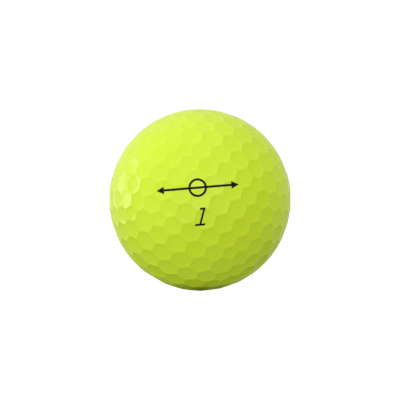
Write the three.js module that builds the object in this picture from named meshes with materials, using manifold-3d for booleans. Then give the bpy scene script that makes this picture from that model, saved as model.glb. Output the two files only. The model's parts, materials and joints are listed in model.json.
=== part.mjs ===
// A golf ball of three-piece construction: a solid rubber core, a stiff casing moulded from two half
// shells, and a thin dimpled cover moulded in two halves, with black marks printed over the dimples.
//
// Millimetres, +Z up, origin at the centre of the ball. The printed pole faces -Y and the rear pole
// faces +Y, so the cover's seam runs round the ball near the plane y = 0. The casing's joint is the
// plane x = 0, because the cased core goes into the cover's mould at any angle.

import * as THREE from "three";
import { ConvexHull } from "three/addons/math/ConvexHull.js";
import { mergeVertices } from "three/addons/utils/BufferGeometryUtils.js";
import Module from "manifold-3d";

// ---- Driving dimensions, in millimetres unless a name says otherwise ----

const BALL_DIAMETER = 42.7;
const COVER_THICKNESS = 0.76;
const CASING_THICKNESS = 0.86;
const LAYER_GAP = 0.03; // between bonded layers
const SEAM_GAP = 0.04; // between the two halves of a layer

const DIMPLE_DEPTH = 0.155; // below the plane of the dimple's rim
const DIMPLE_RADIUS_MIN = 1.6;
const DIMPLE_RADIUS_MAX = 2.4;
const LAND_WIDTH = 0.2; // the ridge left between two neighbouring dimples
const DIMPLE_FAMILIES = 29; // of twelve dimples each; four more stand on the three-fold axes
const PATTERN_ROLL_DEG = 74.8; // turn of the whole dimple pattern about Y, before its two small tilts
const PATTERN_TILT_X_DEG = 1.3;
const PATTERN_TILT_Z_DEG = 5.8;
const RIM_POINTS = 9;

const INK_THICKNESS = 0.03;
const INK_GAP = 0.02; // between the ink and the cover
const PRINT_TILT_DEG = 4.7; // the pole marks rise to the right by this much
const MARK_LENGTH = 18.6;
const MARK_SHIFT_RIGHT = -0.3; // of the mark's middle from the pole
const MARK_HEIGHT_ABOVE_POLE = 2.8;
const MARK_STROKE = 0.5;
const MARK_RING_RADIUS = 2.1;
const ARROW_LENGTH = 1.7;
const ARROW_HALF_WIDTH = 0.85;
const NUMBER_HEIGHT = 4;
const NUMBER_FOOT_LENGTH = 2.25;
const NUMBER_FLAG_LENGTH = 1.2; // from the flag's tip to the far side of the stem
const NUMBER_STROKE = 0.45;
const NUMBER_SHIFT_RIGHT = 0.2; // of the number's middle from the pole
const NUMBER_DROP_BELOW_POLE = 3.75;
const NUMBER_SLANT_DEG = 19;
const STAMP_LENGTH = 14;
const STAMP_STROKE = 0.45;
const RING_SEGMENTS = 14; // along half of the mark's ring

const BALL_RADIUS = BALL_DIAMETER / 2;
const COVER_INNER_RADIUS = BALL_RADIUS - COVER_THICKNESS;
const CASING_OUTER_RADIUS = COVER_INNER_RADIUS - LAYER_GAP;
const CASING_INNER_RADIUS = CASING_OUTER_RADIUS - CASING_THICKNESS;
const CORE_RADIUS = CASING_INNER_RADIUS - LAYER_GAP;

const PRISM_FOOT = 0.6 * BALL_RADIUS; // how far from the centre an outline's prism begins
const PRISM_DEPTH = BALL_RADIUS / 2;
const WELD_DISTANCE = 1e-4; // corners closer than this are one corner

// ---- Dimple layout ----

// The layout repeats under the twelve rotations of a tetrahedron, so the ball is evenly balanced. It is
// then turned as a whole, which sets where the lands run under the printed marks.

const GOLDEN_ANGLE = Math.PI * (3 - Math.sqrt(5));
const SEED_TURN = 0.74; // radians; picks one of the even layouts
const DIMPLE_COUNT = 12 * DIMPLE_FAMILIES + 4;
const MEAN_SPACING = Math.sqrt((4 * Math.PI) / DIMPLE_COUNT); // between centres, in radians
const SPREAD_STEPS = 500;
const SPREAD_POWER = 12; // how fast the push between two centres falls with distance
const SPREAD_FIRST_MOVE = 0.15; // of the mean spacing
const SPREAD_REACH = 4; // mean spacings beyond which a centre isn't felt
const SETTLE_STEPS = 400;
const SETTLE_TIGHT_WEIGHT = 3; // a land that is too narrow counts this many times
const SETTLE_GROWTH = 0.2;
const SETTLE_SHIFT = 0.1;

const AXIS_DIMPLES = [
  new THREE.Vector3(1, 1, 1).normalize(),
  new THREE.Vector3(1, -1, -1).normalize(),
  new THREE.Vector3(-1, 1, -1).normalize(),
  new THREE.Vector3(-1, -1, 1).normalize(),
];

// The twelve images of a direction under the rotations of a tetrahedron, the direction itself first.
function images({ x, y, z }) {
  const cycled = [
    [x, y, z],
    [y, z, x],
    [z, x, y],
  ];
  return cycled.flatMap(([a, b, c]) => [
    new THREE.Vector3(a, b, c),
    new THREE.Vector3(a, -b, -c),
    new THREE.Vector3(-a, b, -c),
    new THREE.Vector3(-a, -b, c),
  ]);
}

function allCentres(families) {
  return [...AXIS_DIMPLES, ...families.flatMap(images)];
}

// The direction shifted along the sphere by a push, which is first made tangent to the sphere.
function slide(direction, push, length) {
  const tangent = push.clone().addScaledVector(direction, -push.dot(direction));
  return direction.clone().addScaledVector(tangent.normalize(), length).normalize();
}

// Centres that start on a spiral and push each other apart until they are evenly spread.
function spreadFamilies() {
  let families = [];
  for (let i = 0; i < DIMPLE_FAMILIES; i++) {
    const polar = Math.acos(1 - (2 * (i + 0.5)) / DIMPLE_FAMILIES);
    const turn = i * GOLDEN_ANGLE + SEED_TURN;
    families.push(new THREE.Vector3().setFromSphericalCoords(1, polar, turn));
  }
  const push = new THREE.Vector3();
  const away = new THREE.Vector3();
  for (let step = 0; step < SPREAD_STEPS; step++) {
    const centres = allCentres(families);
    const move = SPREAD_FIRST_MOVE * MEAN_SPACING * (1 - step / SPREAD_STEPS);
    families = families.map((family) => {
      push.set(0, 0, 0);
      for (const centre of centres) {
        const distance = away.subVectors(family, centre).length();
        if (distance > 0 && distance < SPREAD_REACH * MEAN_SPACING) {
          push.addScaledVector(away, (MEAN_SPACING / distance) ** SPREAD_POWER);
        }
      }
      return slide(family, push, move);
    });
  }
  return families;
}

// The triangles of the convex hull of some points, as triples of indices, counterclockwise from outside.
function hullFacets(points) {
  const indexOf = new Map(points.map((point, index) => [point, index]));
  return new ConvexHull().setFromPoints(points).faces.map((face) => {
    const first = face.edge;
    return [first, first.next, first.next.next].map((edge) => indexOf.get(edge.head().point));
  });
}

function neighbourLists(centres) {
  const lists = centres.map(() => new Set());
  for (const [a, b, c] of hullFacets(centres)) {
    lists[a].add(b).add(c);
    lists[b].add(c).add(a);
    lists[c].add(a).add(b);
  }
  return lists.map((list) => [...list]);
}

// How much wider than LAND_WIDTH the land between two dimples is.
function spareLand(centres, radii, i, j) {
  return BALL_RADIUS * centres[i].angleTo(centres[j]) - radii[i] - radii[j] - LAND_WIDTH;
}

// Dimples of several sizes: each one grows or shrinks towards lands of one width all round it, and
// slides away from the neighbours that crowd it.
function settledDimples() {
  let families = spreadFamilies();
  let centres = allCentres(families);
  let radii = centres.map(() => (BALL_RADIUS * MEAN_SPACING) / 2);
  const weight = (spare) => (spare < 0 ? SETTLE_TIGHT_WEIGHT : 1);
  for (let step = 0; step < SETTLE_STEPS; step++) {
    const neighbours = neighbourLists(centres);
    radii = radii.map((radius, i) => {
      const spares = neighbours[i].map((j) => spareLand(centres, radii, i, j));
      const total = spares.reduce((sum, spare) => sum + weight(spare) * spare, 0);
      const weights = spares.reduce((sum, spare) => sum + weight(spare), 0);
      const grown = radius + (SETTLE_GROWTH * total) / weights;
      return THREE.MathUtils.clamp(grown, DIMPLE_RADIUS_MIN, DIMPLE_RADIUS_MAX);
    });
    families = families.map((family, index) => {
      const i = AXIS_DIMPLES.length + 12 * index;
      const push = new THREE.Vector3();
      for (const j of neighbours[i]) {
        const spare = spareLand(centres, radii, i, j);
        const away = family.clone().sub(centres[j]).normalize();
        push.addScaledVector(away, -spare * weight(spare));
      }
      return slide(family, push, (SETTLE_SHIFT * push.length()) / BALL_RADIUS);
    });
    centres = allCentres(families);
  }
  return { centres, radii };
}

const { centres, radii } = settledDimples();
const patternTurn = new THREE.Euler(
  THREE.MathUtils.degToRad(PATTERN_TILT_X_DEG),
  THREE.MathUtils.degToRad(PATTERN_ROLL_DEG),
  THREE.MathUtils.degToRad(PATTERN_TILT_Z_DEG),
  "XZY",
);
centres.forEach((centre) => centre.applyEuler(patternTurn));

// ---- Cells: each dimple with its share of the land ----

// Pushing each centre out by the cosine of its rim makes the hull's facets meet over the lands: a
// facet's normal is the direction where the lands of its three dimples join.
const facets = hullFacets(
  centres.map((centre, i) => centre.clone().divideScalar(Math.cos(radii[i] / BALL_RADIUS))),
);
const landCorners = facets.map((facet) => {
  const [a, b, c] = facet.map((i) =>
    centres[i].clone().divideScalar(Math.cos(radii[i] / BALL_RADIUS)),
  );
  return b.sub(a).cross(c.sub(a)).normalize();
});

const facetOfEdge = new Map();
const firstFacetOf = new Map();
facets.forEach((facet, index) => {
  facet.forEach((i, k) => {
    facetOfEdge.set(`${i} ${facet[(k + 1) % 3]}`, index);
    firstFacetOf.set(i, index);
  });
});

// The corners of a dimple's cell, counterclockwise, each with the dimple beyond the edge after it.
function cellOf(dimple) {
  const cell = [];
  let facet = firstFacetOf.get(dimple);
  do {
    const place = facets[facet].indexOf(dimple);
    const beyond = facets[facet][(place + 2) % 3];
    cell.push({ corner: facet, beyond });
    facet = facetOfEdge.get(`${dimple} ${beyond}`);
  } while (facet !== firstFacetOf.get(dimple));
  return cell;
}

const isFront = (dimple) => centres[dimple].y < 0;
const isOnSeam = (corner) => new Set(facets[corner].map(isFront)).size === 2;

// A seam corner as seen from one half: drawn back into that half by its share of the seam's gap.
function cornerInHalf(corner, front) {
  if (!isOnSeam(corner)) {
    return landCorners[corner];
  }
  const own = facets[corner].filter((i) => isFront(i) === front);
  const other = facets[corner].filter((i) => isFront(i) !== front);
  const inward = new THREE.Vector3();
  own.forEach((i) => inward.addScaledVector(centres[i], 1 / own.length));
  other.forEach((i) => inward.addScaledVector(centres[i], -1 / other.length));
  return slide(landCorners[corner], inward, SEAM_GAP / 2 / BALL_RADIUS);
}

// ---- Meshes and solids ----

const wasm = await Module();
wasm.setup();

function geometryOf(triangles) {
  return new THREE.BufferGeometry().setFromPoints(triangles.flat());
}

function solidOf(geometry) {
  const bare = new THREE.BufferGeometry();
  bare.setAttribute("position", geometry.getAttribute("position"));
  bare.setIndex(geometry.index);
  const merged = mergeVertices(bare, WELD_DISTANCE);
  return new wasm.Manifold(
    new wasm.Mesh({
      numProp: 3,
      vertProperties: merged.getAttribute("position").array,
      triVerts: new Uint32Array(merged.index.array),
    }),
  );
}

function geometryFromSolid(solid) {
  const { vertProperties, triVerts } = solid.getMesh();
  const geometry = new THREE.BufferGeometry();
  geometry.setAttribute("position", new THREE.BufferAttribute(vertProperties, 3));
  geometry.setIndex(new THREE.BufferAttribute(triVerts, 1));
  geometry.computeVertexNormals();
  return geometry;
}

// Triangles between two rings that run counterclockwise round one axis. An azimuth function gives
// each point's angle round that axis.
function stitchRings(outer, inner, azimuth) {
  const byAzimuth = (ring) => [...ring].sort((a, b) => azimuth(a) - azimuth(b));
  const rings = { outer: byAzimuth(outer), inner: byAzimuth(inner) };
  const at = (ring, k) => ring[k % ring.length];
  const angleAt = (ring, k) => azimuth(at(ring, k)) + (k < ring.length ? 0 : 2 * Math.PI);
  const triangles = [];
  let o = 0;
  let n = 0;
  while (o < outer.length || n < inner.length) {
    const outerIsNext = angleAt(rings.outer, o + 1) < angleAt(rings.inner, n + 1);
    if (n === inner.length || (o < outer.length && outerIsNext)) {
      triangles.push([at(rings.outer, o), at(rings.outer, o + 1), at(rings.inner, n)]);
      o += 1;
    } else {
      triangles.push([at(rings.outer, o), at(rings.inner, n + 1), at(rings.inner, n)]);
      n += 1;
    }
  }
  return triangles;
}

// ---- Cover ----

// One cell of the cover's outer surface: the land between the cell's corners and the rim, and a
// shallow bowl inside the rim. A corner function gives the direction of each land corner.
function cellSurface(dimple, cornerDirection) {
  const axis = centres[dimple];
  const across = new THREE.Vector3(0, 0, 1).cross(axis).normalize();
  const up = axis.clone().cross(across);
  const azimuth = (point) => Math.atan2(point.dot(up), point.dot(across));

  const land = cellOf(dimple).map(({ corner }) =>
    cornerDirection(corner).clone().multiplyScalar(BALL_RADIUS),
  );
  const rimAngle = radii[dimple] / BALL_RADIUS;
  const rim = [];
  for (let k = 0; k < RIM_POINTS; k++) {
    const turn = (2 * Math.PI * k) / RIM_POINTS;
    const outward = across.clone().multiplyScalar(Math.cos(turn)).addScaledVector(up, Math.sin(turn));
    const point = axis.clone().multiplyScalar(Math.cos(rimAngle));
    rim.push(point.addScaledVector(outward, Math.sin(rimAngle)).multiplyScalar(BALL_RADIUS));
  }
  const bottom = axis.clone().multiplyScalar(BALL_RADIUS * Math.cos(rimAngle) - DIMPLE_DEPTH);
  const bowl = rim.map((point, k) => [point, rim[(k + 1) % RIM_POINTS], bottom]);
  return [...stitchRings(land, rim, azimuth), ...bowl];
}

// The layers inside share one net of directions, so that their flat facets nest inside one another:
// the dimple centres and the corners of the cover's seam.
const seamCorners = facets.map((facet, corner) => corner).filter(isOnSeam);
const netDirections = [...centres, ...seamCorners.map((corner) => landCorners[corner])];
const netFacets = hullFacets(netDirections);

// The dimple under whose cell a direction falls.
function dimpleUnder(direction) {
  const nearness = (i) => direction.dot(centres[i]) / Math.cos(radii[i] / BALL_RADIUS);
  return centres.reduce((best, centre, i) => (nearness(i) > nearness(best) ? i : best), 0);
}

// One half of the cover: dimpled outside, smooth inside, and a radial wall along the seam.
function coverHalf(front) {
  const corner = (index) => cornerInHalf(index, front);
  const triangles = [];
  centres.forEach((centre, dimple) => {
    if (isFront(dimple) !== front) {
      return;
    }
    triangles.push(...cellSurface(dimple, corner));
    const cell = cellOf(dimple);
    cell.forEach(({ corner: start, beyond }, k) => {
      if (isFront(beyond) === front) {
        return;
      }
      const ends = [corner(start), corner(cell[(k + 1) % cell.length].corner)];
      const [outerA, outerB] = ends.map((end) => end.clone().multiplyScalar(BALL_RADIUS));
      const [innerA, innerB] = ends.map((end) => end.clone().multiplyScalar(COVER_INNER_RADIUS));
      triangles.push([outerB, outerA, innerA], [outerB, innerA, innerB]);
    });
  });

  const netPoint = (index) => {
    const seamIndex = index - centres.length;
    const direction = seamIndex < 0 ? centres[index] : corner(seamCorners[seamIndex]);
    return direction.clone().multiplyScalar(COVER_INNER_RADIUS);
  };
  for (const [a, b, c] of netFacets) {
    const middle = new THREE.Vector3()
      .add(netDirections[a])
      .add(netDirections[b])
      .add(netDirections[c])
      .normalize();
    if (isFront(dimpleUnder(middle)) === front) {
      triangles.push([netPoint(c), netPoint(b), netPoint(a)]);
    }
  }
  return geometryFromSolid(solidOf(geometryOf(triangles)));
}

// ---- Core and casing ----

function netBall(radius) {
  const corners = netDirections.map((direction) => direction.clone().multiplyScalar(radius));
  return solidOf(geometryOf(netFacets.map((facet) => facet.map((index) => corners[index]))));
}

// One half shell of the casing: the part of the hollow ball on one side of the plane x = 0.
function casingHalf(side) {
  const shell = netBall(CASING_OUTER_RADIUS).subtract(netBall(CASING_INNER_RADIUS));
  const halfSpace = new THREE.BoxGeometry(BALL_DIAMETER, 2 * BALL_DIAMETER, 2 * BALL_DIAMETER);
  halfSpace.translate(side * (BALL_RADIUS + SEAM_GAP / 2), 0, 0);
  return geometryFromSolid(shell.intersect(solidOf(halfSpace)));
}

// ---- Printed marks ----

// Each mark is a thin film that follows the dimples. Its outline is drawn in a plane outside the ball,
// pushed through the surface as a prism, and cut to the film's thickness.

const dimpledSurface = geometryOf(
  centres.flatMap((centre, dimple) => cellSurface(dimple, (corner) => landCorners[corner])),
);

function surfaceRaisedBy(height) {
  const scale = 1 + height / BALL_RADIUS;
  return solidOf(dimpledSurface.clone().scale(scale, scale, scale));
}

const inkUnderside = surfaceRaisedBy(INK_GAP);
const inkTop = surfaceRaisedBy(INK_GAP + INK_THICKNESS);

// A prism over an outline, standing on the ball's surface round the point where its axis leaves the
// ball. Right and up are the outline's own axes in space.
function prism(outline, right, up) {
  const outward = right.clone().cross(up);
  const geometry = new THREE.ExtrudeGeometry(outline, {
    depth: PRISM_DEPTH,
    bevelEnabled: false,
    curveSegments: RING_SEGMENTS,
  });
  geometry.translate(0, 0, PRISM_FOOT);
  geometry.applyMatrix4(new THREE.Matrix4().makeBasis(right, up, outward));
  return solidOf(geometry);
}

function printedFilm(outlines, right, up) {
  const prisms = outlines.map((outline) => prism(outline, right, up));
  const whole = prisms.reduce((joined, piece) => joined.add(piece));
  return geometryFromSolid(inkTop.intersect(whole).subtract(inkUnderside));
}

function polygon(points) {
  return new THREE.Shape(points.map(([x, y]) => new THREE.Vector2(x, y)));
}

// A straight line with an arrowhead at each end, centred on (middle, height).
function arrowLine(length, stroke, middle, height) {
  const lineEnd = length / 2 - ARROW_LENGTH / 2;
  const line = polygon([
    [middle - lineEnd, height - stroke / 2],
    [middle + lineEnd, height - stroke / 2],
    [middle + lineEnd, height + stroke / 2],
    [middle - lineEnd, height + stroke / 2],
  ]);
  const heads = [-1, 1].map((end) => {
    const barb = middle + end * (length / 2 - ARROW_LENGTH);
    const head = [
      [middle + (end * length) / 2, height],
      [barb, height + end * ARROW_HALF_WIDTH],
      [barb, height - end * ARROW_HALF_WIDTH],
    ];
    return polygon(head);
  });
  return [line, ...heads];
}

// The pole's alignment mark: an arrowed line through a ring, above the pole.
function alignmentMark() {
  const ring = new THREE.Shape();
  const [middle, height] = [MARK_SHIFT_RIGHT, MARK_HEIGHT_ABOVE_POLE];
  ring.absarc(middle, height, MARK_RING_RADIUS, 0, 2 * Math.PI);
  const hole = new THREE.Path();
  hole.absarc(middle, height, MARK_RING_RADIUS - MARK_STROKE, 0, 2 * Math.PI, true);
  ring.holes.push(hole);
  return [...arrowLine(MARK_LENGTH, MARK_STROKE, middle, height), ring];
}

// The play number, a slanted 1 with a flag and a foot, below the pole.
function playNumber() {
  const top = NUMBER_HEIGHT / 2;
  const foot = NUMBER_FOOT_LENGTH / 2;
  const stem = NUMBER_STROKE / 2;
  const flagTip = stem - NUMBER_FLAG_LENGTH;
  const upright = [
    [-foot, -top],
    [foot, -top],
    [foot, -top + NUMBER_STROKE],
    [stem, -top + NUMBER_STROKE],
    [stem, top],
    [flagTip, top],
    [flagTip, top - NUMBER_STROKE],
    [-stem, top - NUMBER_STROKE],
    [-stem, -top + NUMBER_STROKE],
    [-foot, -top + NUMBER_STROKE],
  ];
  const slant = Math.tan(THREE.MathUtils.degToRad(NUMBER_SLANT_DEG));
  const placed = ([x, y]) => [x + y * slant + NUMBER_SHIFT_RIGHT, y - NUMBER_DROP_BELOW_POLE];
  return [polygon(upright.map(placed))];
}

// ---- Assembly ----

const coverMaterial = new THREE.MeshStandardMaterial({ color: 0xc8e63a, roughness: 0.28, metalness: 0 });
const casingMaterial = new THREE.MeshStandardMaterial({ color: 0xe6e2d2, roughness: 0.45, metalness: 0 });
const coreMaterial = new THREE.MeshStandardMaterial({ color: 0x3f7f86, roughness: 0.85, metalness: 0 });
const inkMaterial = new THREE.MeshStandardMaterial({ color: 0x101210, roughness: 0.35, metalness: 0 });

const golfBall = new THREE.Group();
golfBall.name = "golf_ball";

function addPiece(name, geometry, material) {
  const mesh = new THREE.Mesh(geometry, material.clone());
  mesh.name = name;
  golfBall.add(mesh);
}

addPiece("core", geometryFromSolid(netBall(CORE_RADIUS)), coreMaterial);
addPiece("casing_left", casingHalf(-1), casingMaterial);
addPiece("casing_right", casingHalf(1), casingMaterial);
addPiece("cover_front", coverHalf(true), coverMaterial);
addPiece("cover_rear", coverHalf(false), coverMaterial);

const tilt = THREE.MathUtils.degToRad(PRINT_TILT_DEG);
const poles = [
  { name: "front", right: new THREE.Vector3(Math.cos(tilt), 0, Math.sin(tilt)) },
  { name: "rear", right: new THREE.Vector3(-Math.cos(tilt), 0, Math.sin(tilt)) },
];
for (const { name, right } of poles) {
  const up = new THREE.Vector3(-right.z * Math.sign(right.x), 0, Math.abs(right.x));
  addPiece(`${name}_alignment_mark`, printedFilm(alignmentMark(), right, up), inkMaterial);
  addPiece(`${name}_play_number`, printedFilm(playNumber(), right, up), inkMaterial);
}

const alongSeam = new THREE.Vector3(0, 0, 1);
const acrossSeam = new THREE.Vector3(0, -1, 0);
const sideStamp = printedFilm(arrowLine(STAMP_LENGTH, STAMP_STROKE, 0, 0), alongSeam, acrossSeam);
addPiece("side_stamp", sideStamp, inkMaterial);

export default golfBall;
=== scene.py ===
"""The looks of a golf ball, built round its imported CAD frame: a smooth dimpled cover in two halves,
ink films laid on the dimples, a casing in two cups and a rubber core, with procedural materials.

Lengths are metres and directions are unit vectors from the ball's centre, which is the origin."""

import json
import math

import bmesh
import bpy
import numpy as np
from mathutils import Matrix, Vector
from mathutils.bvhtree import BVHTree


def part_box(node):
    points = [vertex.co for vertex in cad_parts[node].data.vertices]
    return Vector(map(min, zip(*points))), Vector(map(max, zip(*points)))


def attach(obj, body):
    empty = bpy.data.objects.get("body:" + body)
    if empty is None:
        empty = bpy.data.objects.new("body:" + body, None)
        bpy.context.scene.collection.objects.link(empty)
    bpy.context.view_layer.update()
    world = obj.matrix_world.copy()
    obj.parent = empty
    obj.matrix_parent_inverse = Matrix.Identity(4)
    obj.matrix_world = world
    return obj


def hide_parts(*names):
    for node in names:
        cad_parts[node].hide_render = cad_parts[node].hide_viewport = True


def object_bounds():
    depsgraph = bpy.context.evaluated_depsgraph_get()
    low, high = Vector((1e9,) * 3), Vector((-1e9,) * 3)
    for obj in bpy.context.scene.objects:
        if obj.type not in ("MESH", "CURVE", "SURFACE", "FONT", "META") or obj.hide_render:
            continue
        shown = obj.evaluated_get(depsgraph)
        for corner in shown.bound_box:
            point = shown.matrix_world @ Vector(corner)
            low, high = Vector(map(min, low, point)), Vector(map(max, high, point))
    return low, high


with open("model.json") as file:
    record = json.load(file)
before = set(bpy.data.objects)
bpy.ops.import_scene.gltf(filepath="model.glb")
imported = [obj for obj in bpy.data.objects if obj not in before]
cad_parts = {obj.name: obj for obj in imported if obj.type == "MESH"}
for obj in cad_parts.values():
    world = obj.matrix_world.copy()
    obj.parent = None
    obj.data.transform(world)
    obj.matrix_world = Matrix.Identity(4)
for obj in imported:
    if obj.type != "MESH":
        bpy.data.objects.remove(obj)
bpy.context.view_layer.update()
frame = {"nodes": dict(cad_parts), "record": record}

MM = 0.001
WELD_DISTANCE = 0.001 * MM  # CAD corners are rounded to this, which merges those in one place
NEAR_POLE = 0.9  # a direction with more height than this is measured from the X axis, not from Z
SHARP_ANGLE = math.radians(35)  # faces that meet more sharply than this aren't shaded as one

# ---- What the shapes are made from ----

LEAST_DEPTH = 0.1 * MM  # a CAD dimple's bottom is deeper than this
DEPTH_SHARE = 0.77  # of a CAD dimple's depth below the sphere
RIM_GROWTH = 0.11 * MM  # each bowl runs this far past its CAD rim, so that neighbours meet in a ridge
BOWL_POWER = 3.2  # 2 is a round bowl; more is a flatter floor with steeper sides
RIM_SOFTNESS = 0.005 * MM  # depth over which a rim or a ridge rounds off
RIM_REACH = 0.6 * MM  # how far outside its rim a dimple still shapes the land
EDGE_CUTS = 9  # divisions of one side of a dimple's cell
BOWL_RINGS = (0.3, 0.52, 0.7, 0.83)  # shares of the way from the centre to the bowl's edge
EDGE_RINGS = (0.14 * MM, 0.07 * MM, 0.03 * MM)  # distances inside the bowl's edge
LAND_SHARE = 0.4  # where the last ring lies between the bowl's edge and the cell's
LAND_INSET = 0.01 * MM  # keeps that ring inside the cell where a bowl fills it

FILM_SUNK = 0.004 * MM  # the ink's underside, below the cover's surface
FILM_PROUD = 0.010 * MM  # the ink's face, above it
FILM_EDGE = 0.16 * MM  # longest edge in a film's mesh
RAY_START = 2  # ball radii from the centre, well outside the cover


# ---- Reading the frame ----

def merged_mesh(node):
    """Vertices (n, 3) and triangles of a CAD node, with the vertices its faces share merged."""
    mesh = frame["nodes"][node].data
    points = np.array([vertex.co for vertex in mesh.vertices], float)
    mesh.calc_loop_triangles()
    triangles = np.array([triangle.vertices for triangle in mesh.loop_triangles])
    grid = np.round(points / WELD_DISTANCE)
    _, first, inverse = np.unique(grid, axis=0, return_index=True, return_inverse=True)
    return points[first], inverse.reshape(-1)[triangles]


def read_dimples(node, ball_radius, inner_radius):
    """Centre directions, rim angles and depths below the sphere of a cover half's dimples. A dimple's
    bottom is a point between the two skins, and its neighbours in the mesh are its rim."""
    points, triangles = merged_mesh(node)
    radii = np.linalg.norm(points, axis=1)
    directions = points / radii[:, None]
    middle = (ball_radius + inner_radius) / 2
    bottoms = np.flatnonzero((radii > middle) & (radii < ball_radius - LEAST_DEPTH))
    neighbours = {bottom: set() for bottom in bottoms}
    for triangle in triangles:
        for corner in triangle:
            if corner in neighbours:
                neighbours[corner].update(int(other) for other in triangle if other != corner)
    rims = [
        np.mean(np.arccos(directions[sorted(neighbours[bottom])] @ directions[bottom]))
        for bottom in bottoms
    ]
    return directions[bottoms], np.array(rims), ball_radius - radii[bottoms]


def skin_radii(node):
    """The outer and inner radius of a hollow CAD node. A skin's corners lie on its sphere, but where
    the node is cut they lie inside it, so each skin's radius is the largest among its corners."""
    radii = np.linalg.norm(merged_mesh(node)[0], axis=1)
    middle = (radii.max() + radii.min()) / 2
    return radii.max(), radii[radii < middle].max()


BALL_RADIUS, COVER_INNER_RADIUS = skin_radii("cover_front")
sides = ("front", "rear")
found = [read_dimples(f"cover_{side}", BALL_RADIUS, COVER_INNER_RADIUS) for side in sides]
centres, rim_angles, depths = (np.concatenate(values) for values in zip(*found))
rim_angles += RIM_GROWTH / BALL_RADIUS
depths *= DEPTH_SHARE
side_of = np.repeat((0, 1), [len(rims) for _, rims, _ in found])


# ---- The dimpled surface ----

def depth_below_sphere(directions, dimples):
    """How far below the sphere the surface is at each direction: the deepest of the bowls given, or
    nothing where none reaches. Neighbouring bowls meet in a narrow ridge that is a little rounded."""
    cosines = np.clip(directions @ centres[dimples].T, -1, 1)
    shares = np.arccos(cosines) / rim_angles[dimples]
    bowls = depths[dimples] * (1 - shares**BOWL_POWER) / RIM_SOFTNESS
    return RIM_SOFTNESS * np.logaddexp(0, np.logaddexp.reduce(bowls, axis=1))


def surface_radius(directions):
    """The smooth cover's radius at each direction."""
    result = np.empty(len(directions))
    reach = math.cos(rim_angles.max() + RIM_REACH / BALL_RADIUS)
    for index, direction in enumerate(directions):
        near = np.flatnonzero(centres @ direction > reach)
        result[index] = BALL_RADIUS - depth_below_sphere(direction[None], near)[0]
    return result


def unit(vectors):
    """Vectors of length 1 with the same directions."""
    return vectors / np.linalg.norm(vectors, axis=-1, keepdims=True)


def find_cells():
    """For each dimple, its cell's corners in counterclockwise order with the dimple across the side
    that follows each corner. The hull of the centres, each pushed out by the cosine of its rim, has a
    facet for each spot where three lands join, and the facet's normal points there."""
    pushed = centres / np.cos(rim_angles)[:, None]
    hull = bmesh.new()
    for point in pushed:
        hull.verts.new(point)
    hull.verts.index_update()
    bmesh.ops.convex_hull(hull, input=hull.verts[:])
    bmesh.ops.triangulate(hull, faces=hull.faces[:])
    facets = [[vertex.index for vertex in face.verts] for face in hull.faces]
    hull.free()
    corners = []
    around = [[] for _ in centres]
    for number, (a, b, c) in enumerate(facets):
        normal = unit(np.cross(pushed[b] - pushed[a], pushed[c] - pushed[a]))
        corners.append(normal if normal @ centres[a] > 0 else -normal)
        for dimple in (a, b, c):
            around[dimple].append(number)
    cells = []
    for dimple, numbers in enumerate(around):
        across, up = tangent_axes(centres[dimple])
        numbers.sort(key=lambda n: math.atan2(corners[n] @ up, corners[n] @ across))
        cell = []
        for place, number in enumerate(numbers):
            following = numbers[(place + 1) % len(numbers)]
            shared = set(facets[number]) & set(facets[following]) - {dimple}
            cell.append((number, shared.pop()))
        cells.append(cell)
    return np.array(corners), cells


def tangent_axes(direction):
    """Two unit vectors square to a direction, so that across, up and direction are right-handed."""
    helper = np.array((0.0, 0.0, 1.0)) if abs(direction[2]) < NEAR_POLE else np.array((1.0, 0.0, 0.0))
    across = unit(np.cross(helper, direction))
    return across, np.cross(direction, across)


def arc(start, end, count):
    """Directions along the great circle from start, and short of end, in count equal steps."""
    angle = math.acos(np.clip(start @ end, -1, 1))
    steps = np.arange(count) / count
    blend = np.sin((1 - steps) * angle)[:, None] * start + np.sin(steps * angle)[:, None] * end
    return blend / math.sin(angle)


def new_object(name, points, faces):
    """A smooth-shaded object in the scene."""
    mesh = bpy.data.meshes.new(name)
    mesh.from_pydata([tuple(point) for point in points], [], faces)
    mesh.validate()
    mesh.polygons.foreach_set("use_smooth", [True] * len(mesh.polygons))
    mesh.set_sharp_from_angle(angle=SHARP_ANGLE)
    piece = bpy.data.objects.new(name, mesh)
    bpy.context.scene.collection.objects.link(piece)
    return piece


def finish_piece(piece, material, node):
    """Gives a piece its material, and puts it on the ball in the place of a CAD node."""
    piece.data.materials.append(material)
    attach(piece, "root")
    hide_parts(node)


# ---- Cover ----

def cell_rings(dimple, boundary):
    """Rings of directions from near a dimple's centre out to just inside its cell's boundary."""
    centre = centres[dimple]
    angles = np.arccos(np.clip(boundary @ centre, -1, 1))
    outward = unit(boundary - np.outer(boundary @ centre, centre))
    edge = np.minimum(rim_angles[dimple], angles)
    ring_angles = [edge * share for share in BOWL_RINGS]
    ring_angles += [edge - inset / BALL_RADIUS for inset in EDGE_RINGS]
    ring_angles.append(edge + LAND_SHARE * (angles - edge) - LAND_INSET / BALL_RADIUS)
    return [
        np.cos(angle)[:, None] * centre + np.sin(angle)[:, None] * outward for angle in ring_angles
    ]


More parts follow.
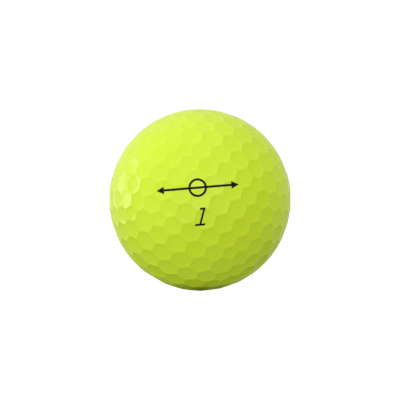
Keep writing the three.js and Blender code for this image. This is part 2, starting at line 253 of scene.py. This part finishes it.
def cover_half(side, corners, cells):
    """One half of the cover as a closed solid: dimpled outside, smooth inside, a wall on the seam."""
    points = []
    faces = []
    shared = {}

    def add(directions, radii):
        first = len(points)
        points.extend(directions * np.broadcast_to(radii, len(directions))[:, None])
        return list(range(first, len(points)))

    def boundary_side(start, end, dimples):
        """Outer and inner vertices along one side of a cell, start included and end left out. Both
        cells that share the side get the same vertices."""
        low, high = min(start, end), max(start, end)
        if (low, high) not in shared:
            inside = arc(corners[low], corners[high], EDGE_CUTS)[1:]
            radii = BALL_RADIUS - depth_below_sphere(inside, dimples)
            shared[low, high] = (add(inside, radii), add(inside, COVER_INNER_RADIUS))
        if start not in shared:
            radius = BALL_RADIUS - depth_below_sphere(corners[start][None], dimples)
            corner = corners[start][None]
            shared[start] = (add(corner, radius)[0], add(corner, COVER_INNER_RADIUS)[0])
        step = 1 if start == low else -1
        outer, inner = (run[::step] for run in shared[low, high])
        return [shared[start][0], *outer], [shared[start][1], *inner]

    for dimple in np.flatnonzero(side_of == side):
        cell = cells[dimple]
        near = np.array([dimple] + [beyond for corner, beyond in cell])
        outer_ring, inner_ring, walls = [], [], []
        for place, (start, beyond) in enumerate(cell):
            end = cell[(place + 1) % len(cell)][0]
            outer, inner = boundary_side(start, end, near)
            if side_of[beyond] != side:
                walls.append((len(outer_ring), len(outer)))
            outer_ring += outer
            inner_ring += inner
        count = len(outer_ring)
        following = [(k + 1) % count for k in range(count)]

        boundary = unit(np.array([points[index] for index in outer_ring]))
        rings = []
        for directions in cell_rings(dimple, boundary):
            rings.append(add(directions, BALL_RADIUS - depth_below_sphere(directions, near)))
        rings.append(outer_ring)
        centre = centres[dimple][None]
        bottom = add(centre, BALL_RADIUS - depth_below_sphere(centre, near))[0]
        faces += [(bottom, rings[0][k], rings[0][following[k]]) for k in range(count)]
        for small, large in zip(rings, rings[1:]):
            for k, n in enumerate(following):
                faces.append((small[k], large[k], large[n], small[n]))
        middle = add(centre, COVER_INNER_RADIUS)[0]
        halfway = add(unit(boundary + centre), COVER_INNER_RADIUS)
        for k, n in enumerate(following):
            faces.append((middle, halfway[n], halfway[k]))
            faces.append((halfway[k], halfway[n], inner_ring[n], inner_ring[k]))
        for first, length in walls:
            for k in range(first, first + length):
                n = following[k]
                faces.append((outer_ring[n], outer_ring[k], inner_ring[k], inner_ring[n]))
    return new_object(f"{sides[side]}_cover_shell", points, faces)


# ---- Ink ----

def cad_surface():
    """The CAD cover's outer surface, for finding how high a point of a CAD film stands over it."""
    points, triangles = [], []
    for side in sides:
        part_points, part_triangles = merged_mesh(f"cover_{side}")
        triangles += (part_triangles + len(points)).tolist()
        points += part_points.tolist()
    return BVHTree.FromPolygons(points, triangles)


def height_over(surface, point):
    """How high a point stands over the CAD cover, or over the sphere where the seam lies under it."""
    direction = point.normalized()
    hit = surface.ray_cast(direction * RAY_START * BALL_RADIUS, -direction)[0]
    if hit is None or hit.length < COVER_INNER_RADIUS or hit.dot(direction) < 0:
        return point.length - BALL_RADIUS
    return point.length - hit.length


def divided(points, triangles, longest):
    """A mesh whose edges are halved again and again, until none is longer than asked."""
    points = [Vector(point) for point in points]
    middles = {}

    def middle_of(a, b):
        key = (min(a, b), max(a, b))
        if key not in middles:
            middles[key] = None
            if (points[a] - points[b]).length > longest:
                middles[key] = len(points)
                points.append((points[a] + points[b]) / 2)
        return middles[key]

    while True:
        finer = []
        for a, b, c in triangles:
            ab, bc, ca = middle_of(a, b), middle_of(b, c), middle_of(c, a)
            # Turned so that the first side is cut, and the last is not unless all three are.
            if ab is None or (ca is not None and bc is None):
                turns = 1 if bc is not None else 2
                a, b, c = (a, b, c, a, b)[turns:turns + 3]
                ab, bc, ca = (ab, bc, ca, ab, bc)[turns:turns + 3]
            if ab is None:
                finer.append((a, b, c))
            elif bc is None:
                finer += [(a, ab, c), (ab, b, c)]
            elif ca is None:
                finer += [(ab, b, bc), (ab, bc, c), (ab, c, a)]
            else:
                finer += [(a, ab, ca), (ab, b, bc), (ca, bc, c), (ab, bc, ca)]
        if len(finer) == len(triangles):
            return np.array(points), finer
        triangles = finer


def printed_film(node, surface):
    """A CAD ink film, divided finely and laid on the smooth dimples as a thin solid."""
    points, triangles = merged_mesh(node)
    points, triangles = divided(points, [tuple(map(int, t)) for t in triangles], FILM_EDGE)
    heights = np.array([height_over(surface, Vector(point)) for point in points])
    low, high = heights.min(), heights.max()
    raised = np.clip((heights - low) / (high - low), 0, 1)
    directions = unit(points)
    radii = surface_radius(directions) - FILM_SUNK + raised * (FILM_SUNK + FILM_PROUD)
    return new_object(f"{node}_ink", directions * radii[:, None], triangles)


# ---- Casing and core ----

CUP_TURNS = 96
CUP_STEPS = 30
GATE_RADIUS = 0.9 * MM  # the mark that the moulding gate leaves at a cup's pole
GATE_DEPTH = 0.12 * MM
DISH_POWER = 4  # gives the gate mark and the ground ring a flat floor with steep, rounded sides
CORE_CELLS = 40  # along one side of the core's cube-shaped net
FLASH_BAND = 0.9 * MM  # half-width of the ring where the core's moulding flash was ground off
FLASH_DEPTH = 0.05 * MM


def casing_cup(node):
    """A half shell of the casing, turned round the X axis: the outer skin from the pole to the joint,
    the flat joint, and the inner skin back to the pole."""
    low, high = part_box(node)
    way = 1 if high.x > -low.x else -1
    joint = min(abs(low.x), abs(high.x))
    outer, inner = skin_radii(node)
    profile = []
    for radius, order in ((outer, 1), (inner, -1)):
        last = math.acos(joint / radius)
        steps = [last * step / CUP_STEPS for step in range(1, CUP_STEPS + 1)][::order]
        for angle in steps:
            gate = GATE_DEPTH * math.exp(-((radius * angle / GATE_RADIUS) ** DISH_POWER))
            reach = radius - (gate if radius == outer else 0)
            profile.append((way * reach * math.cos(angle), reach * math.sin(angle)))
    points = []
    for turn in range(CUP_TURNS):
        cosine = math.cos(2 * math.pi * turn / CUP_TURNS)
        sine = math.sin(2 * math.pi * turn / CUP_TURNS)
        points += [(x, reach * cosine, reach * sine) for x, reach in profile]
    faces = []
    size = len(profile)
    for turn in range(CUP_TURNS):
        here, there = turn * size, (turn + 1) % CUP_TURNS * size
        for step in range(size - 1):
            faces.append((here + step, here + step + 1, there + step + 1, there + step))
    outer_pole, inner_pole = len(points), len(points) + 1
    points += [(way * (outer - GATE_DEPTH), 0, 0), (way * inner, 0, 0)]
    for turn in range(CUP_TURNS):
        here, there = turn * size, (turn + 1) % CUP_TURNS * size
        faces.append((outer_pole, here, there))
        faces.append((inner_pole, there + size - 1, here + size - 1))
    if way < 0:
        faces = [face[::-1] for face in faces]
    return new_object(f"{node}_cup", points, faces)


def core_ball():
    """The core: a ball on a net of six square grids, with a ground ring where its mould closed."""
    radius = np.linalg.norm(merged_mesh("core")[0], axis=1).max()
    ball = bmesh.new()
    bmesh.ops.create_cube(ball, size=2)
    bmesh.ops.subdivide_edges(ball, edges=ball.edges[:], cuts=CORE_CELLS - 1, use_grid_fill=True)
    cube = np.array([vertex.co for vertex in ball.verts])
    directions = unit(np.tan(cube * math.pi / 4))
    latitude = np.arcsin(directions[:, 2]) * radius
    radii = radius - FLASH_DEPTH * np.exp(-((latitude / FLASH_BAND) ** DISH_POWER))
    faces = [[vertex.index for vertex in face.verts] for face in ball.faces]
    ball.free()
    return new_object("core_ball", directions * radii[:, None], faces)


# ---- Materials ----

NOISE_MIDDLE = (0.25, 0.75)  # most of a noise's values lie between these
COVER_COLOURS = (
    (0.3, (0.69, 0.925, 0.016)),
    (0.5, (0.705, 0.945, 0.018)),
    (0.7, (0.72, 0.96, 0.022)),
)
INK_COLOURS = (
    (0.35, (0.006, 0.0075, 0.004)),
    (0.7, (0.014, 0.018, 0.007)),
)
CASING_COLOURS = (
    (0.3, (0.72, 0.68, 0.55)),
    (0.5, (0.78, 0.75, 0.63)),
    (0.75, (0.82, 0.80, 0.70)),
)
CORE_COLOURS = (
    (0.34, (0.02, 0.10, 0.11)),
    (0.45, (0.05, 0.21, 0.23)),
    (0.66, (0.09, 0.29, 0.30)),
)


def node_material(name):
    """A new material and its Principled shader."""
    material = bpy.data.materials.new(name)
    material.use_nodes = True
    nodes = material.node_tree.nodes
    nodes.clear()
    output = nodes.new("ShaderNodeOutputMaterial")
    shader = nodes.new("ShaderNodeBsdfPrincipled")
    material.node_tree.links.new(shader.outputs["BSDF"], output.inputs["Surface"])
    return material, shader


def noise(material, size, detail=3.0, roughness=0.5):
    """The value of a noise whose features are about size metres across."""
    nodes = material.node_tree.nodes
    place = nodes.new("ShaderNodeTexCoord")
    texture = nodes.new("ShaderNodeTexNoise")
    texture.inputs["Scale"].default_value = 1 / size
    texture.inputs["Detail"].default_value = detail
    texture.inputs["Roughness"].default_value = roughness
    material.node_tree.links.new(place.outputs["Object"], texture.inputs["Vector"])
    return texture.outputs["Fac"]


def colours_from(material, value, *stops):
    """A colour ramp over a value; each stop is (position, linear colour)."""
    ramp = material.node_tree.nodes.new("ShaderNodeValToRGB")
    elements = ramp.color_ramp.elements
    while len(elements) < len(stops):
        elements.new(0.5)
    for element, (position, colour) in zip(elements, stops):
        element.position = position
        element.color = (*colour, 1)
    material.node_tree.links.new(value, ramp.inputs["Fac"])
    return ramp.outputs["Color"]


def remapped(material, value, low, high):
    """The middle of a noise's values, stretched to the range low to high."""
    spread = material.node_tree.nodes.new("ShaderNodeMapRange")
    spread.inputs["From Min"].default_value = NOISE_MIDDLE[0]
    spread.inputs["From Max"].default_value = NOISE_MIDDLE[1]
    spread.inputs["To Min"].default_value = low
    spread.inputs["To Max"].default_value = high
    material.node_tree.links.new(value, spread.inputs["Value"])
    return spread.outputs["Result"]


def bumped(material, heights):
    """A normal from (value, depth in metres) pairs, laid one on another."""
    normal = None
    for value, depth in heights:
        bump = material.node_tree.nodes.new("ShaderNodeBump")
        bump.inputs["Distance"].default_value = depth
        material.node_tree.links.new(value, bump.inputs["Height"])
        if normal is not None:
            material.node_tree.links.new(normal, bump.inputs["Normal"])
        normal = bump.outputs["Normal"]
    return normal


def cover_material():
    """Bright yellow-green plastic, a little translucent, under a glossy clear coat."""
    material, shader = node_material("cover_yellow")
    link = material.node_tree.links.new
    tint = noise(material, 9 * MM, detail=4)
    colour = colours_from(material, tint, *COVER_COLOURS)
    link(colour, shader.inputs["Base Color"])
    link(remapped(material, noise(material, 1.2 * MM), 0.3, 0.42), shader.inputs["Roughness"])
    shader.inputs["Specular IOR Level"].default_value = 0
    shader.inputs["Subsurface Weight"].default_value = 0.12
    shader.inputs["Subsurface Radius"].default_value = (0.8, 1.0, 0.3)
    shader.inputs["Subsurface Scale"].default_value = 0.35 * MM
    shader.inputs["Coat Weight"].default_value = 0.85
    shader.inputs["Coat IOR"].default_value = 1.5
    link(remapped(material, noise(material, 2.5 * MM), 0.17, 0.23), shader.inputs["Coat Roughness"])
    peel = noise(material, 0.9 * MM, detail=2)
    grain = noise(material, 0.15 * MM, detail=2)
    normal = bumped(material, [(peel, 0.004 * MM), (grain, 0.0006 * MM)])
    link(normal, shader.inputs["Normal"])
    link(normal, shader.inputs["Coat Normal"])
    return material


def ink_material():
    """Black pad-print ink: nearly even, with faint thin patches and only a trace of gloss."""
    material, shader = node_material("ink_black")
    link = material.node_tree.links.new
    tint = noise(material, 0.35 * MM, detail=4, roughness=0.6)
    colour = colours_from(material, tint, *INK_COLOURS)
    link(colour, shader.inputs["Base Color"])
    link(remapped(material, noise(material, 0.3 * MM), 0.3, 0.5), shader.inputs["Roughness"])
    shader.inputs["Specular IOR Level"].default_value = 0
    shader.inputs["Coat Weight"].default_value = 0.12
    shader.inputs["Coat Roughness"].default_value = 0.08
    link(bumped(material, [(noise(material, 0.12 * MM), 0.002 * MM)]), shader.inputs["Normal"])
    return material


def casing_material():
    """Ivory ionomer: satin, cloudy and a little translucent, with fine flow texture."""
    material, shader = node_material("casing_ivory")
    link = material.node_tree.links.new
    tint = noise(material, 6 * MM, detail=5)
    colour = colours_from(material, tint, *CASING_COLOURS)
    link(colour, shader.inputs["Base Color"])
    link(remapped(material, noise(material, 0.8 * MM), 0.38, 0.52), shader.inputs["Roughness"])
    shader.inputs["Subsurface Weight"].default_value = 0.2
    shader.inputs["Subsurface Radius"].default_value = (1.0, 0.9, 0.6)
    shader.inputs["Subsurface Scale"].default_value = 0.5 * MM
    heights = [(noise(material, 0.5 * MM), 0.01 * MM), (noise(material, 0.1 * MM), 0.003 * MM)]
    link(bumped(material, heights), shader.inputs["Normal"])
    return material


def core_material():
    """Moulded rubber: matt teal, with specks of reground rubber."""
    material, shader = node_material("core_teal")
    link = material.node_tree.links.new
    specks = noise(material, 0.7 * MM, detail=6, roughness=0.65)
    colour = colours_from(material, specks, *CORE_COLOURS)
    link(colour, shader.inputs["Base Color"])
    link(remapped(material, noise(material, 1.5 * MM), 0.72, 0.9), shader.inputs["Roughness"])
    heights = [(noise(material, 0.4 * MM, detail=5), 0.03 * MM), (specks, 0.01 * MM)]
    link(bumped(material, heights), shader.inputs["Normal"])
    return material


# ---- Building the ball ----

corners, cells = find_cells()
cover_finish = cover_material()
for side, side_name in enumerate(sides):
    shell = cover_half(side, corners, cells)
    finish_piece(shell, cover_finish, f"cover_{side_name}")

ink_finish = ink_material()
surface = cad_surface()
ink_nodes = [part["node"] for part in frame["record"]["subparts"] if part["material_slot"] == "ink"]
for node in ink_nodes:
    finish_piece(printed_film(node, surface), ink_finish, node)

casing_finish = casing_material()
for node in ("casing_left", "casing_right"):
    finish_piece(casing_cup(node), casing_finish, node)

finish_piece(core_ball(), core_material(), "core")


# ---- Stage ----

WHITE = (1, 1, 1)

FLOOR_SIZE = 6.0
FLOOR_COLOUR = (0.9, 0.9, 0.9)
FLOOR_GLOW = 0.86  # brings the floor up to the white of the sky behind it
# The floor's shadow is painted: a dark disc round the contact point that only the ball's own rays
# see, standing in for the shade under the ball
PAINTED_SHADOW_REACH = 0.62  # ball radii from the contact point at which the floor's shadow ends
PAINTED_SHADOW_COLOUR = (0.02, 0.025, 0.01)

SKY_MEAN = 0.60
SKY_LEAST = 0.34
SKY_LEAN = Vector((-0.315, -0.315, 0.43))  # how the light grows towards the upper left front

BACKDROP_GLOW = 0.36  # added by a warm band that stands behind the ball
BACKDROP_COLOUR = (1, 1, 0.5)  # so that the rim reflects little blue
BACKDROP_LOW = (-0.65, 0.15)  # heights on the unit sphere between which the band's foot fades in
BACKDROP_HIGH = (0.65, 0.2)  # and its top
BACKDROP_NEAR = (-0.1, 0.45)  # the same along the camera's line of sight

DARK_BELOW = (-0.1, -0.6)  # heights between which the sky behind the ball turns dark
DARK_NEAR = (0.2, 0.8)  # the same along the camera's line of sight
DARK_SHARE = 0.85  # of the light lost there

SOFTBOX_DISTANCE = 0.5
SOFTBOXES = (  # name, direction, width, height and radiance
    ("softbox_left", (-0.94, 0.30, 0.14), 0.2, 0.26, 2.0),
    ("softbox_front", (0, -1, 0.1), 0.35, 0.35, 0.6),
)

CAMERA_DISTANCE = 0.40
CAMERA_CLIP_START = 0.01
BALL_SHARE_OF_FRAME = 0.227  # the ball's radius over the frame's width


def make_floor():
    """A wide pale floor under the ball. The ball itself meets only a painted contact shadow, a dark
    disc that fades out round the point where it touches; light from below passes the rest."""
    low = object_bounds()[0]
    half = FLOOR_SIZE / 2
    corners = [(-half, -half, low.z), (half, -half, low.z), (half, half, low.z), (-half, half, low.z)]
    floor = new_object("floor", corners, [(0, 1, 2, 3)])
    material, shader = node_material("floor_pale")
    nodes, links = material.node_tree.nodes, material.node_tree.links
    shader.inputs["Base Color"].default_value = (*FLOOR_COLOUR, 1)
    shader.inputs["Roughness"].default_value = 1
    shader.inputs["Specular IOR Level"].default_value = 0
    shader.inputs["Emission Color"].default_value = (*WHITE, 1)
    shader.inputs["Emission Strength"].default_value = FLOOR_GLOW
    clear = nodes.new("ShaderNodeBsdfTransparent")
    # painted shadow: a dark, matt disc that the ball's rays meet round the contact point
    shadow = nodes.new("ShaderNodeBsdfDiffuse")
    shadow.inputs["Color"].default_value = (*PAINTED_SHADOW_COLOUR, 1)
    place = nodes.new("ShaderNodeNewGeometry")
    away = nodes.new("ShaderNodeVectorMath")
    away.operation = "DISTANCE"
    away.inputs[1].default_value = (0, 0, low.z)
    links.new(place.outputs["Position"], away.inputs[0])
    fade = nodes.new("ShaderNodeMapRange")
    fade.interpolation_type = "SMOOTHSTEP"
    fade.inputs["From Max"].default_value = PAINTED_SHADOW_REACH * BALL_RADIUS
    links.new(away.outputs["Value"], fade.inputs["Value"])
    below = nodes.new("ShaderNodeMixShader")
    links.new(fade.outputs["Result"], below.inputs["Fac"])
    links.new(shadow.outputs["BSDF"], below.inputs[1])
    links.new(clear.outputs["BSDF"], below.inputs[2])
    path = nodes.new("ShaderNodeLightPath")
    mix = nodes.new("ShaderNodeMixShader")
    output = next(node for node in nodes if node.type == "OUTPUT_MATERIAL")
    links.new(path.outputs["Is Camera Ray"], mix.inputs["Fac"])
    links.new(below.outputs["Shader"], mix.inputs[1])
    links.new(shader.outputs["BSDF"], mix.inputs[2])
    links.new(mix.outputs["Shader"], output.inputs["Surface"])
    floor.data.materials.append(material)


def make_sky():
    """White to the camera. To the ball it is a broad soft light, strong from the upper left front and
    weak from the lower right back, with a warm band behind the ball and darkness below the band."""
    world = bpy.data.worlds.new("studio")
    bpy.context.scene.world = world
    world.use_nodes = True
    nodes, link = world.node_tree.nodes, world.node_tree.links.new
    nodes.clear()
    place = nodes.new("ShaderNodeTexCoord").outputs["Generated"]

    def calculated(operation, first, second):
        """The result of an operation on two numbers, either of which may be a socket."""
        node = nodes.new("ShaderNodeMath")
        node.operation = operation
        for socket, value in zip(node.inputs, (first, second)):
            if isinstance(value, bpy.types.NodeSocket):
                link(value, socket)
            else:
                socket.default_value = value
        return node.outputs[0]

    def faded(value, limits):
        """0 at the first limit, 1 at the second and smooth between them."""
        node = nodes.new("ShaderNodeMapRange")
        node.interpolation_type = "SMOOTHSTEP"
        low, high = sorted(limits)
        node.inputs["From Min"].default_value = low
        node.inputs["From Max"].default_value = high
        node.inputs["To Min"].default_value = 0 if limits[0] < limits[1] else 1
        node.inputs["To Max"].default_value = 1 if limits[0] < limits[1] else 0
        link(value, node.inputs["Value"])
        return node.outputs["Result"]

    lean = nodes.new("ShaderNodeVectorMath")
    lean.operation = "DOT_PRODUCT"
    lean.inputs[1].default_value = SKY_LEAN
    link(place, lean.inputs[0])
    parts = nodes.new("ShaderNodeSeparateXYZ")
    link(place, parts.inputs[0])
    depth, height = parts.outputs["Y"], parts.outputs["Z"]

    sky = calculated("MAXIMUM", calculated("ADD", lean.outputs["Value"], SKY_MEAN), SKY_LEAST)
    dark = calculated("MULTIPLY", faded(depth, DARK_NEAR), faded(height, DARK_BELOW))
    dark = calculated("MULTIPLY", dark, DARK_SHARE)
    sky = calculated("MULTIPLY", sky, calculated("SUBTRACT", 1, dark))
    band = calculated("MULTIPLY", faded(height, BACKDROP_LOW), faded(height, BACKDROP_HIGH))
    band = calculated("MULTIPLY", band, faded(depth, BACKDROP_NEAR))
    glow = calculated("MULTIPLY", band, BACKDROP_GLOW)

    def background(strength, colour):
        """A light of one colour, whose strength is a number or a socket."""
        node = nodes.new("ShaderNodeBackground")
        node.inputs["Color"].default_value = (*colour, 1)
        if isinstance(strength, bpy.types.NodeSocket):
            link(strength, node.inputs["Strength"])
        else:
            node.inputs["Strength"].default_value = strength
        return node.outputs["Background"]

    light = nodes.new("ShaderNodeAddShader")
    link(background(sky, WHITE), light.inputs[0])
    link(background(glow, BACKDROP_COLOUR), light.inputs[1])
    path = nodes.new("ShaderNodeLightPath")
    mix = nodes.new("ShaderNodeMixShader")
    output = nodes.new("ShaderNodeOutputWorld")
    link(path.outputs["Is Camera Ray"], mix.inputs["Fac"])
    link(light.outputs["Shader"], mix.inputs[1])
    link(background(1, WHITE), mix.inputs[2])
    link(mix.outputs["Shader"], output.inputs["Surface"])


def softbox(name, direction, width, height, radiance):
    """A panel that shows only as a soft reflection; the sky does the lighting."""
    data = bpy.data.lights.new(name, "AREA")
    data.shape = "RECTANGLE"
    data.size = width
    data.size_y = height
    data.energy = radiance * math.pi * width * height
    light = bpy.data.objects.new(name, data)
    light.location = Vector(direction).normalized() * SOFTBOX_DISTANCE
    light.rotation_mode = "QUATERNION"
    light.rotation_quaternion = (-light.location).to_track_quat("-Z", "Y")
    light.visible_diffuse = False
    bpy.context.scene.collection.objects.link(light)


def make_camera():
    """Level with the ball's centre and straight at the printed pole."""
    data = bpy.data.cameras.new("camera")
    camera = bpy.data.objects.new("camera", data)
    camera.location = (0, -CAMERA_DISTANCE, 0)
    camera.rotation_euler = (math.pi / 2, 0, 0)
    tangent = math.tan(math.asin(BALL_RADIUS / CAMERA_DISTANCE))
    data.lens = data.sensor_width * BALL_SHARE_OF_FRAME / tangent
    data.clip_start = CAMERA_CLIP_START
    bpy.context.scene.collection.objects.link(camera)
    bpy.context.scene.camera = camera


make_floor()
make_sky()
for settings in SOFTBOXES:
    softbox(*settings)
make_camera()
bpy.context.scene.view_settings.view_transform = "Standard"
